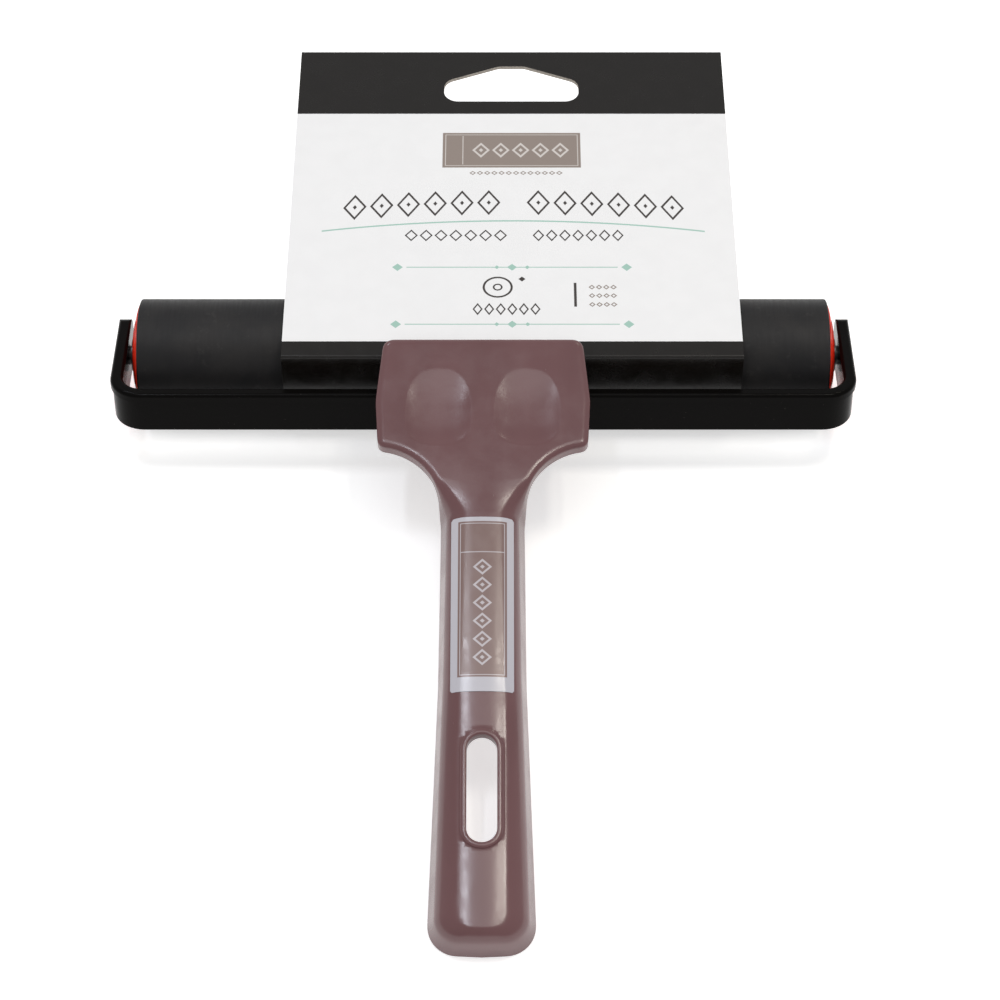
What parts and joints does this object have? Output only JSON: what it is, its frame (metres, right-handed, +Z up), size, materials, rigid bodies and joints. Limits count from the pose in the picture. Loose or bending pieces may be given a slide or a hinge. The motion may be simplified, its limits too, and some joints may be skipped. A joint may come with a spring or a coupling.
{
  "type": "rubber brayer",
  "caption": "Hand brayer with a rubber roller turning in a bent strap frame, a moulded grip with thumb hollows and a folded header card round the roller.",
  "frame": {"origin": "middle of the footprint on the surface that the brayer lies on", "axes": "+X along the roller to the right, +Y away from the handle toward the header card, +Z up"},
  "size_m": [0.1634, 0.2331, 0.0322],
  "materials": {
    "rubber": "matte black",
    "core": "moulded",
    "end_cap": "gloss red",
    "bush": "satin black",
    "axle": "black",
    "frame": "gloss black enamel",
    "handle": "gloss mauve brown",
    "label": "translucent film, printed panel",
    "card": "coated board, black bands, plain printed rules"
  },
  "bodies": {
    "base": {"handle_shell": "handle", "handle_label": "label", "frame": "frame", "stub_axle_left": "axle", "stub_axle_right": "axle"},
    "roller": {"rubber_sleeve": "rubber", "core_tube": "core", "end_cap_left": "end_cap", "end_cap_right": "end_cap", "bush_left": "bush", "bush_right": "bush"},
    "card": {"header_card": "card"}
  },
  "joints": [
    {"name": "roller_spin", "type": "hinge", "parent": "base", "child": "roller", "pos_m": [0, 0.02645, 0.01325], "axis": [1, 0, 0], "continuous": true},
    {"name": "card_swing", "type": "hinge", "parent": "base", "child": "card", "pos_m": [0, 0.02645, 0.01325], "axis": [1, 0, 0], "range_deg": [0, 10]}
  ]
}
